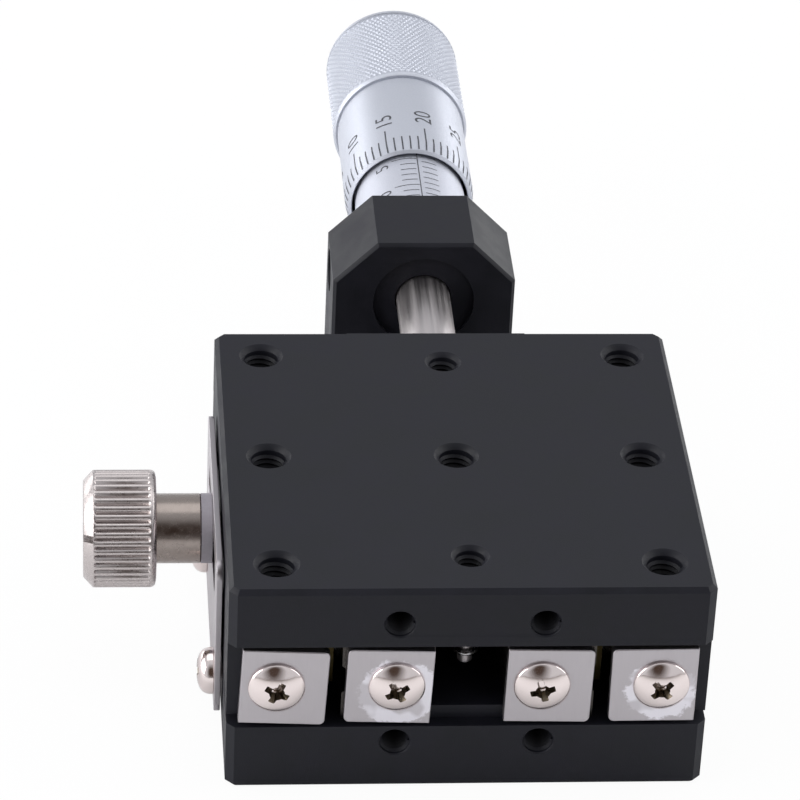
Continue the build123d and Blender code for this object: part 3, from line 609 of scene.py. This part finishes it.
def serratedThumbScrew():
    t = thumbScrew
    stud = max(v.co.x for v in nodes["clamp_knob"].data.vertices) / mm - t["seat"][0]
    bm = turnedBody(thumbScrewProfile(stud), t["ridges"] * t["pointsPerRidge"])
    first, last = t["neckLength"] + t["ridgesFrom"], t["neckLength"] + t["ridgesTo"]
    for v in bm.verts:
        radius, height = v.co.xy.length / mm, v.co.z / mm
        if radius < t["radius"] - t["near"]:
            continue
        share = min(max(min(height - first, last - height) / t["ridgeFade"], 0), 1)
        crest = abs(math.sin(math.atan2(v.co.y, v.co.x) * t["ridges"] / 2))
        drop = t["ridgeDepth"] * share * (1 - crest) ** t["ridgeShape"]
        v.co.xy *= (radius - drop) / radius
    slot = bmesh.new()
    bmesh.ops.create_cube(slot, size=1)
    bmesh.ops.scale(slot, verts=slot.verts,
                    vec=(t["slotLength"] * mm, t["slotWidth"] * mm, 2 * t["slotDepth"] * mm))
    bmesh.ops.translate(slot, verts=slot.verts, vec=(0, 0, (t["neckLength"] + t["length"]) * mm))
    bm = cutAway(bm, [slot])
    neckEnd, neckSide = (t["neckLength"] - t["near"]) * mm, (t["neckRadius"] + t["near"]) * mm
    for face in bm.faces:            # the neck is turned and left bright, not plated with the head
        middle = face.calc_center_median()
        if middle.z < neckEnd and middle.xy.length < neckSide:
            face.material_index = 1
    seat = placeAt([c * mm for c in t["seat"]], (-1, 0, 0), math.radians(t["slotTurn"]))
    bmesh.ops.transform(bm, matrix=seat, verts=bm.verts)
    piece = makePiece("serratedThumbScrew", bm, "clamp_screw", knobNickel, t["shadedTo"])
    piece.data.materials.append(neckSteel)
    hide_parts("clamp_knob")


serratedThumbScrew()
print("thumb screw done")


thimble = {
    "steps": 76,                     # diamonds round the grip
    "length": 28.5,                  # mm from here on
    "bore": 5.62,
    "boreEdge": 0.04,
    "radius": 6.2,
    "rimRadius": 5.97,
    "rimEdge": (0.26, 0.2),          # in and along
    "rimBevel": 1.5,                 # length of the cone that the scale starts on
    "bevelEase": (0.02, 0.05),       # rounds the cone's end, in and along
    "groove": 0.1,                   # turned beside the grip
    "grooveStart": 0.2,              # in front of the grip
    "grooveWall": 0.06,
    "gripStart": 14.3,
    "gripRadius": 6.62,
    "gripBevel": 0.22,
    "gripEase": (0.03, 0.08),
    "knurlStart": 14.85,
    "knurlEnd": 27.1,
    "knurlEdge": 0.06,
    "knurlRows": 14,
    "knurlDepth": 0.12,
    "knurlGroove": 0.13,
    "endRound": 1.3,
    "endParts": 6,
    "endWall": 3.0,
    "screwRadius": 3.25,
    "screwSeat": 1.0,
    "hub": 2.51,
    "shadedTo": 28,                  # degrees
}


def thimbleProfile():
    t = thimble
    radius, grip, start = t["radius"], t["gripRadius"], t["gripStart"]
    edgeIn, edgeAlong = t["rimEdge"]
    easeIn, easeAlong = t["bevelEase"]
    points = [(t["bore"] + t["boreEdge"], 0), (t["rimRadius"] - edgeIn, 0), (t["rimRadius"], edgeAlong),
              (radius - easeIn, t["rimBevel"] - easeAlong), (radius, t["rimBevel"] + easeAlong)]
    wall, groove = start - t["grooveStart"], radius - t["groove"]
    points += [(radius, wall), (groove, wall + t["grooveWall"]), (groove, start)]
    easeIn, easeAlong = t["gripEase"]
    points += [(grip - t["gripBevel"], start), (grip - easeIn, start + t["gripBevel"]),
               (grip, start + t["gripBevel"] + easeAlong), (grip, t["knurlStart"] - t["knurlEdge"])]
    rise, valley = (t["knurlEnd"] - t["knurlStart"]) / t["knurlRows"], grip - t["knurlDepth"]
    points += [(valley, t["knurlStart"] + rise * row) for row in range(t["knurlRows"] + 1)]
    points.append((grip, t["knurlEnd"] + t["knurlEdge"]))
    centre = t["length"] - t["endRound"]
    for part in range(1, t["endParts"] + 1):
        a = tau / 4 * part / t["endParts"]
        points.append((grip - t["endRound"] * (1 - math.cos(a)), centre + t["endRound"] * math.sin(a)))
    seat, floor = t["length"] - t["screwSeat"], t["length"] - t["endWall"]
    points += [(t["screwRadius"], t["length"]), (t["screwRadius"], seat), (t["hub"], seat),
               (t["hub"], floor), (t["bore"], floor), (t["bore"], t["boreEdge"])]
    return [(r * mm, height * mm) for r, height in points]


def knurledThimble():
    t = thimble
    bm = turnedBody(thimbleProfile(), t["steps"])
    play = 0.01 * mm                 # how closely a point counts as in the knurl
    low, high = t["knurlStart"] * mm - play, t["knurlEnd"] * mm + play
    valley = (t["gripRadius"] - t["knurlDepth"]) * mm
    knurled = {v for v in bm.verts if low < v.co.z < high and v.co.xy.length > valley - 5 * play}
    grip = [f for f in bm.faces if all(v in knurled for v in f.verts)]
    inGrip = set(grip)
    between = [e for e in bm.edges if len(e.link_faces) == 2 and all(f in inGrip for f in e.link_faces)]
    # each square gets a centre and the old edges go, which leaves diamonds, as crossed wheels cut them
    poked = bmesh.ops.poke(bm, faces=grip)
    bmesh.ops.dissolve_edges(bm, edges=between, use_verts=False, use_face_split=False)
    diamonds = list({f for v in poked["verts"] for f in v.link_faces if len(f.verts) == 4})
    bmesh.ops.inset_individual(bm, faces=diamonds, thickness=t["knurlGroove"] * mm,
                               depth=t["knurlDepth"] * mm, use_even_offset=True)
    seat = placeAt((0, places["thimbleFront"], places["axisZ"]), (0, 1, 0))
    bmesh.ops.transform(bm, matrix=seat, verts=bm.verts)
    piece = makePiece("knurledThimble", bm, "thimble", satinChrome, t["shadedTo"])
    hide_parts("thimble")


knurledThimble()
print("thimble done")


scales = {
    "lift": 0.012 * mm,              # paint stands this far out, so that it isn't lost in the metal
    "sleeveRadius": 5.3 * mm,
    "thimbleRadius": 6.2 * mm,
    "divisions": 50,
    "datumTurn": -4.6,               # degrees round from the top, towards -X
    "reading": 18.8,                 # division at the datum line
    "lineWidth": 0.14 * mm,
    "shortLine": 2.2 * mm,
    "longLine": 3.9 * mm,
    "lineStart": 0.28 * mm,          # behind the rim
    "numberStart": 5.3 * mm,
    "numberHeight": 1.7 * mm,
    "sleeveLine": 0.1 * mm,
    "zeroAt": 57.985 * mm,           # Y of the zero line of the sleeve
    "sleeveMillimetres": 13,
    "halfMillimetre": (0.4 * mm, 1.5 * mm),       # gap from the datum line, and length round the sleeve
    "millimetre": (0.2 * mm, 1.5 * mm),
    "fifthMillimetre": (0.1 * mm, 2.4 * mm),
    "datumBefore": 0.4 * mm,         # the datum line runs past the first and last marks
    "datumBeyond": 0.3 * mm,
    "sleeveNumberHeight": 1.4 * mm,
    "sleeveNumberOff": 3.55 * mm,    # middle of a number, round from the datum line
    "sleeveNumberBack": 0.45 * mm,
    "sleeveDigit": 0.4,              # a number moves back by this share of its height for each digit
    "cellsAcross": 8,                # so that a line can bend round the sleeve
    "cellsAlong": 40,                # or follow the thimble's cone
}
lettering = {
    "capital": 0.7,                  # height of a digit, of the font's size
    "thinner": 0.012 * mm,           # taken off each side of a stroke
    "cuts": 8,                       # bands across a number, so that it can bend
    "curveSteps": 4,
}
paintShading = 60                    # degrees


def onCylinder(radius, turn, along):
    # turn in degrees from the top, towards -X; near the thimble's rim the paint follows its cone
    a = math.radians(turn)
    up, cone = along - places["thimbleFront"], thimble["rimBevel"] * mm
    if radius > scales["thimbleRadius"] and up < cone:
        radius -= (thimble["radius"] - thimble["rimRadius"]) * mm * (1 - up / cone)
    return Vector((-radius * math.sin(a), along, places["axisZ"] + radius * math.cos(a)))


def addLine(bm, radius, turn, start, length, width, across=False):
    # a thin painted bar on the cylinder: along Y from start, or round it where across is true
    cells = (scales["cellsAcross"], 1) if across else (1, scales["cellsAlong"])
    made = bmesh.ops.create_grid(bm, x_segments=cells[0], y_segments=cells[1], size=0.5)
    for v in made["verts"]:
        if across:
            bend, up = v.co.x * length, v.co.y * width
        else:
            bend, up = v.co.x * width, (v.co.y + 0.5) * length
        v.co = onCylinder(radius, turn - math.degrees(bend / radius), start + up)


def addNumber(bm, text, radius, turn, start, height):
    # the number reads along +Y with its top towards -X, bent round the cylinder
    curve = bpy.data.curves.new("number", "FONT")
    curve.body = text
    curve.size = height / lettering["capital"]
    curve.offset = -lettering["thinner"]
    curve.resolution_u = lettering["curveSteps"]
    words = bpy.data.objects.new("number", curve)
    flat = bpy.data.meshes.new_from_object(words)
    bpy.data.objects.remove(words)
    bpy.data.curves.remove(curve)
    letters = bmesh.new()
    letters.from_mesh(flat)
    bpy.data.meshes.remove(flat)
    lowest = min(v.co.x for v in letters.verts)
    bottom, top = min(v.co.y for v in letters.verts), max(v.co.y for v in letters.verts)
    bmesh.ops.triangulate(letters, faces=letters.faces)
    for cut in range(1, lettering["cuts"]):
        level = bottom + (top - bottom) * cut / lettering["cuts"]
        bmesh.ops.bisect_plane(letters, geom=letters.verts[:] + letters.edges[:] + letters.faces[:],
                               plane_co=(0, level, 0), plane_no=(0, 1, 0))
    middle = (bottom + top) / 2
    for v in letters.verts:
        bend = math.degrees((v.co.y - middle) / radius)
        v.co = onCylinder(radius, turn + bend, start + v.co.x - lowest)
    joinInto(bm, letters, Matrix.Identity(4))
    letters.free()


def divisionTurn(number):
    step = 360 / scales["divisions"]
    return scales["datumTurn"] + (scales["reading"] - number) * step


def thimbleScale():
    bm = bmesh.new()
    radius = scales["thimbleRadius"] + scales["lift"]
    start = places["thimbleFront"] + scales["lineStart"]
    for number in range(scales["divisions"]):
        length = scales["longLine"] if number % 5 == 0 else scales["shortLine"]
        addLine(bm, radius, divisionTurn(number), start, length, scales["lineWidth"])
    for number in range(0, scales["divisions"], 5):
        addNumber(bm, str(number), radius, divisionTurn(number),
                  places["thimbleFront"] + scales["numberStart"], scales["numberHeight"])
    makePiece("thimbleScale", bm, "thimble", engraving, paintShading)


def sleeveScale():
    bm = bmesh.new()
    radius = scales["sleeveRadius"] + scales["lift"]
    datum, zero, line = scales["datumTurn"], scales["zeroAt"], scales["sleeveLine"]
    last = zero - scales["sleeveMillimetres"] * mm - scales["datumBeyond"]
    addLine(bm, radius, datum, last, zero + scales["datumBefore"] - last, line)
    perDegree = radius * tau / 360

    def tick(y, mark, side):
        # side +1 runs left of the datum line, -1 right of it
        gap, length = scales[mark]
        addLine(bm, radius, datum + side * (gap + length / 2) / perDegree, y, length, line, True)

    for half in range(2 * scales["sleeveMillimetres"] + 1):
        y = zero - half * 0.5 * mm
        if half % 2:
            tick(y, "halfMillimetre", -1)
        elif half % 10:
            tick(y, "millimetre", 1)
        else:
            tick(y, "fifthMillimetre", 1)
            text, size = str(half // 2), scales["sleeveNumberHeight"]
            start = y - scales["sleeveNumberBack"] - scales["sleeveDigit"] * size * len(text)
            addNumber(bm, text, radius, datum + scales["sleeveNumberOff"] / perDegree, start, size)
    makePiece("sleeveScale", bm, "base", engraving, paintShading)


thimbleScale()
sleeveScale()
print("scales done")


threads = {
    "stepsPerTurn": 24,
    "sunk": 0.01,                    # mm from here on: thread root beyond the hole's wall
    "crestAt": 0.45,                 # share of the pitch at the ridge's crest and far root
    "rootAt": 0.9,
    "coarse": {"radius": 1.5, "crest": 1.3, "pitch": 0.5, "turns": 7, "from": 0.5},
    "fine": {"radius": 1.25, "crest": 1.03, "pitch": 0.45, "turns": 8, "from": 0.42},
    "face": {"radius": 1.25, "crest": 1.03, "pitch": 0.45, "turns": 9, "from": 0.2},
    "coarseAt": ((-16, -16), (16, -16), (-16, 0), (0, 0), (16, 0), (-16, 16), (16, 16)),
    "fineAt": ((0, -15), (0, 15)),
    "faceX": (-6, 6),
    "tableFaceZ": 16.65,
    "baseFaceZ": 4.65,
    "shadedTo": 40,                  # degrees
}


def addThread(bm, point, outward, kind):
    # a triangular ridge screwed down the hole from its mouth
    size = threads[kind]
    ridge = bmesh.new()
    root, pitch, mouth = size["radius"] + threads["sunk"], size["pitch"], size["from"]
    section = ((root, mouth), (size["crest"], mouth + threads["crestAt"] * pitch),
               (root, mouth + threads["rootAt"] * pitch))
    face = ridge.faces.new([ridge.verts.new((r * mm, 0, -depth * mm)) for r, depth in section])
    steps = threads["stepsPerTurn"] * size["turns"]
    bmesh.ops.spin(ridge, geom=[face], cent=(0, 0, 0), axis=(0, 0, 1), angle=-tau * size["turns"],
                   steps=steps, dvec=(0, 0, -pitch * mm / threads["stepsPerTurn"]))
    bmesh.ops.recalc_face_normals(ridge, faces=ridge.faces)
    joinInto(bm, ridge, placeAt(point, outward))
    ridge.free()


def addFaceThreads(bm, z):
    for x in threads["faceX"]:
        addThread(bm, (x * mm, -places["plateHalf"], z * mm), (0, -1, 0), "face")


def tableThreads():
    bm = bmesh.new()
    for kind in ("coarse", "fine"):
        for x, y in threads[kind + "At"]:
            addThread(bm, (x * mm, y * mm, places["tableTop"]), (0, 0, 1), kind)
    addFaceThreads(bm, threads["tableFaceZ"])
    makePiece("tableThreads", bm, "table", anodised, threads["shadedTo"])


def baseThreads():
    bm = bmesh.new()
    addFaceThreads(bm, threads["baseFaceZ"])
    makePiece("baseThreads", bm, "base", anodised, threads["shadedTo"])


tableThreads()
baseThreads()
print("threads done")


def returnSpring():
    # the wire keeps the frame's own shape
    mesh = nodes["extension_spring"].data.copy()
    bm = bmesh.new()
    bm.from_mesh(mesh)
    bmesh.ops.remove_doubles(bm, verts=bm.verts, dist=weld)
    bm.to_mesh(mesh)
    bm.free()
    mesh.materials.clear()
    mesh.materials.append(springWire)
    mesh.shade_smooth()
    piece = bpy.data.objects.new("returnSpring", mesh)
    bpy.context.collection.objects.link(piece)
    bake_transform(piece)
    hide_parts("extension_spring")


returnSpring()
print("spring done")


view = {
    "location": (-0.0336007, -0.3048001, 0.2213015),
    "turn": (57.3806, -2.3434, -3.8532),
    "lens": 193.79,
    "sensor": 36,
    "nearest": 0.01,
}

lightsAim = (0, 0.02, 0.01)          # metres
lights = {
    # name: (position, size), in metres, and power in watts
    "left": ((-0.42, -0.02, 0.16), (0.4, 0.3), 1.5),
    "right": ((0.42, 0.05, 0.2), (0.4, 0.3), 0.8),
    "above": ((0.0, 0.12, 0.45), (0.5, 0.3), 0.4),
    "rearLeft": ((-0.4, 0.5, 0.1), (0.3, 0.16), 0.42),
    "rearRight": ((0.42, 0.5, 0.1), (0.3, 0.16), 0.42),
}

room = {
    "strength": 1.0,
    "stretch": (1.25, 1, 0.75),      # shapes the dark part: narrower across, taller
    "darkToward": (-0.11, -0.86, 0.34),
    "darkWithin": 0.24,              # distances from there, on the stretched sphere of directions
    "paleFrom": 0.66,
    "dark": "#4a3d36",
    "pale": "#d6d8dc",
}

paper = {
    "half": 3,                       # metres
    "colour": "#f4f4f4",
    "frontShadeColour": "#776d65",        # painted shade: the floor darkens towards the front, standing in for the shade on the camera side, which the metal shows in its reflections
    "frontEnd": -0.34,               # Y between which the one goes over into the other, metres
    "sheetFrom": -0.04,
    "roughness": 0.9,
    "glow": 0.95,                    # share that shines to the camera, so that it stays white
}


def addCamera():
    camera = bpy.data.objects.new("camera", bpy.data.cameras.new("camera"))
    bpy.context.collection.objects.link(camera)
    camera.location = view["location"]
    camera.rotation_euler = [math.radians(a) for a in view["turn"]]
    camera.data.lens = view["lens"]
    camera.data.sensor_width = view["sensor"]
    camera.data.dof.use_dof = False
    camera.data.clip_start = view["nearest"]
    bpy.context.scene.camera = camera


def addLights():
    for name, (position, size, power) in lights.items():
        lamp = bpy.data.lights.new(name, "AREA")
        lamp.shape = "RECTANGLE"
        lamp.size, lamp.size_y = size
        lamp.energy = power
        box = bpy.data.objects.new(name, lamp)
        box.location = position
        box.rotation_euler = (Vector(lightsAim) - Vector(position)).to_track_quat("-Z", "Y").to_euler()
        bpy.context.collection.objects.link(box)


def addWorld():
    # white to the eye, and to the metal a pale room with the dark of the camera side in it
    world = bpy.data.worlds.new("studio")
    bpy.context.scene.world = world
    world.use_nodes = True
    tree = world.node_tree
    tree.nodes.clear()
    direction = addNode(tree, "TexCoord")
    shaped = addNode(tree, "VectorMath", {"operation": "MULTIPLY", 1: room["stretch"]},
                     {0: direction.outputs["Generated"]})
    away = addNode(tree, "VectorMath", {"operation": "DISTANCE", 1: room["darkToward"]},
                   {0: shaped.outputs["Vector"]})
    tone = addNode(tree, "ValToRGB", None, {"Fac": away.outputs["Value"]})
    tone.color_ramp.elements[0].position = room["darkWithin"]
    tone.color_ramp.elements[0].color = linear(room["dark"])
    tone.color_ramp.elements[1].position = room["paleFrom"]
    tone.color_ramp.elements[1].color = linear(room["pale"])
    around = addNode(tree, "Background", {"Strength": room["strength"]},
                     {"Color": tone.outputs["Color"]})
    white = addNode(tree, "Background", {"Color": (1, 1, 1, 1), "Strength": 1.0})
    path = addNode(tree, "LightPath")
    mix = addNode(tree, "MixShader", None, {0: path.outputs["Is Camera Ray"], 1: around.outputs[0],
                                            2: white.outputs[0]})
    addNode(tree, "OutputWorld", None, {"Surface": mix.outputs[0]})


def addFloor():
    bm = bmesh.new()
    bmesh.ops.create_grid(bm, x_segments=1, y_segments=1, size=paper["half"])
    mesh = bpy.data.meshes.new("floor")
    bm.to_mesh(mesh)
    bm.free()
    floor = bpy.data.objects.new("floor", mesh)
    bpy.context.collection.objects.link(floor)
    # matt white paper: part of it glows to the camera so that it stays white, the rest takes the shadow
    material, tree, shader = startMaterial("whitePaper", paper["colour"], paper["roughness"])
    path = addNode(tree, "LightPath")
    place = addNode(tree, "TexCoord")
    split = addNode(tree, "SeparateXYZ", None, {"Vector": place.outputs["Object"]})
    reach = addNode(tree, "MapRange", {"From Min": paper["frontEnd"], "From Max": paper["sheetFrom"]},
                    {"Value": split.outputs["Y"]})
    # painted shade: the floor darkens towards the front, mostly seen in the metal's reflections
    sheet = addNode(tree, "ValToRGB", None, {"Fac": reach.outputs["Result"]})
    sheet.color_ramp.elements[0].color = linear(paper["frontShadeColour"])
    sheet.color_ramp.elements[1].color = linear(paper["colour"])
    tree.links.new(sheet.outputs["Color"], shader.inputs["Base Color"])
    glow = addNode(tree, "Emission", {"Color": (1, 1, 1, 1), "Strength": 1.0})
    part = addNode(tree, "Math", {"operation": "MULTIPLY", 1: paper["glow"]},
                   {0: path.outputs["Is Camera Ray"]})
    mix = addNode(tree, "MixShader", None,
                  {0: part.outputs[0], 1: shader.outputs[0], 2: glow.outputs[0]})
    tree.links.new(mix.outputs[0], tree.nodes["Material Output"].inputs["Surface"])
    mesh.materials.append(material)


addCamera()
addLights()
addWorld()
addFloor()
bpy.context.scene.view_settings.view_transform = "Standard"
